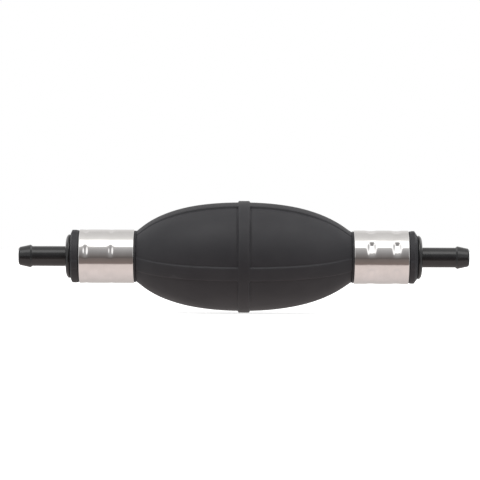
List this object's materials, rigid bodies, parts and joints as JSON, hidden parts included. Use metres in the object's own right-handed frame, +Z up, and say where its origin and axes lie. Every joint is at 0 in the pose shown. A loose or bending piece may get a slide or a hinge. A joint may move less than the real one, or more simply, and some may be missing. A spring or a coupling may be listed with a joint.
{
  "type": "siphon bulb pump",
  "caption": "Hand-squeezed rubber bulb pump with a crimped, barbed hose fitting and a spring-loaded check valve at each end.",
  "frame": {"origin": "centre of the bulb, on the pump's long axis, which is the centre of the whole object", "axes": "+X along the pump in the direction of flow, from the inlet barb to the outlet barb; +Z up; -Y faces the viewer of the reference picture"},
  "size_m": [0.18, 0.0448, 0.0448],
  "materials": {
    "bulb_rubber": "matte",
    "fitting_plastic": "satin",
    "ferrule_steel": "polished",
    "valve_plastic": "satin",
    "seal_rubber": "satin",
    "spring_steel": "gloss"
  },
  "bodies": {
    "root": {"bulb_shell": "bulb_rubber", "inlet_hose_fitting": "fitting_plastic", "inlet_ferrule": "ferrule_steel", "inlet_retaining_ring": "spring_steel", "outlet_hose_fitting": "fitting_plastic", "outlet_ferrule": "ferrule_steel", "outlet_retaining_ring": "spring_steel", "inlet_valve_body": "valve_plastic", "inlet_valve_o_ring": "seal_rubber", "inlet_valve_spring": "spring_steel", "inlet_spring_guide": "valve_plastic", "outlet_valve_body": "valve_plastic", "outlet_valve_o_ring": "seal_rubber", "outlet_valve_spring": "spring_steel", "outlet_spring_guide": "valve_plastic"},
    "front_wall": {"bulb_front_wall": "bulb_rubber"},
    "rear_wall": {"bulb_rear_wall": "bulb_rubber"},
    "inlet_poppet_body": {"inlet_poppet": "valve_plastic", "inlet_poppet_seal": "seal_rubber"},
    "outlet_poppet_body": {"outlet_poppet": "valve_plastic", "outlet_poppet_seal": "seal_rubber"}
  },
  "joints": [
    {"name": "bulb_squeeze", "type": "slide", "parent": "root", "child": "front_wall", "axis": [0, 1, 0], "range_m": [0, 0.0075], "stiffness_N_per_m": 3000},
    {"name": "bulb_squeeze_rear", "type": "slide", "parent": "root", "child": "rear_wall", "axis": [0, -1, 0], "range_m": [0, 0.0075], "stiffness_N_per_m": 3000},
    {"name": "inlet_valve_lift", "type": "slide", "parent": "root", "child": "inlet_poppet_body", "axis": [1, 0, 0], "range_m": [0, 0.002], "stiffness_N_per_m": 150, "springref_m": -0.001, "deforming": ["inlet_valve_spring"]},
    {"name": "outlet_valve_lift", "type": "slide", "parent": "root", "child": "outlet_poppet_body", "axis": [1, 0, 0], "range_m": [0, 0.002], "stiffness_N_per_m": 150, "springref_m": -0.001, "deforming": ["outlet_valve_spring"]}
  ],
  "couplings": [
    {"joint": "bulb_squeeze_rear", "follows": "bulb_squeeze", "ratio": 1}
  ]
}
